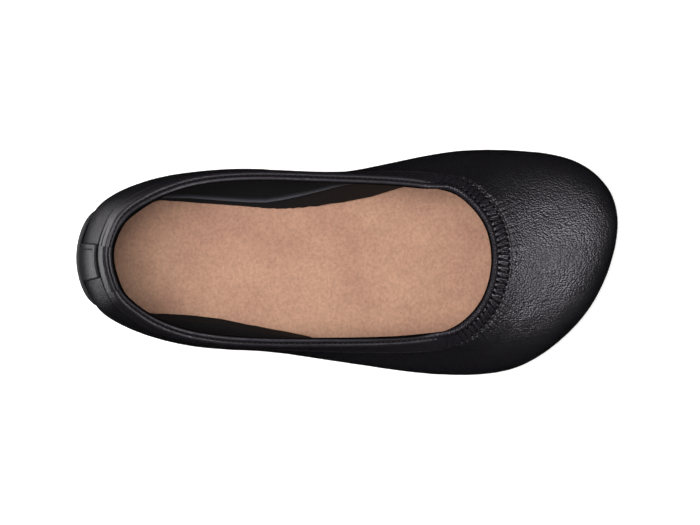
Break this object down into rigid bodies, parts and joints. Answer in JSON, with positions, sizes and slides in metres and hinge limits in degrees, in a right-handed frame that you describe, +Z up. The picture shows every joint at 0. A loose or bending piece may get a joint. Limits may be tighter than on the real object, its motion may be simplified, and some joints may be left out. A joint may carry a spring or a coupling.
{
  "type": "barefoot shoe",
  "caption": "Soft leather ballet flat with an elasticated collar, a suede insole and a thin cupped rubber outsole with a wavy square tread. Right shoe, standing empty.",
  "frame": {"origin": "on the ground, under the middle of the shoe's box", "axes": "+Y from heel to toe, +Z up, -X towards the big toe's side"},
  "size_m": [0.106, 0.2544, 0.0553],
  "materials": {
    "rubber": "moulded black rubber, matt, with a raised wavy tread",
    "leather": "black full-grain leather, soft pebbled grain, low sheen",
    "lining": "black woven textile lining, matt",
    "suede": "tan brushed microfibre suede, short nap",
    "binding": "black folded leather hem over elastic, finely ribbed and gathered",
    "strip": "black smooth leather, semi-gloss"
  },
  "bodies": {
    "root": {"outsole": "rubber", "upper": "leather", "insole": "suede", "collar_binding": "binding", "heel_strip": "strip", "heel_loop": "strip"}
  },
  "joints": []
}
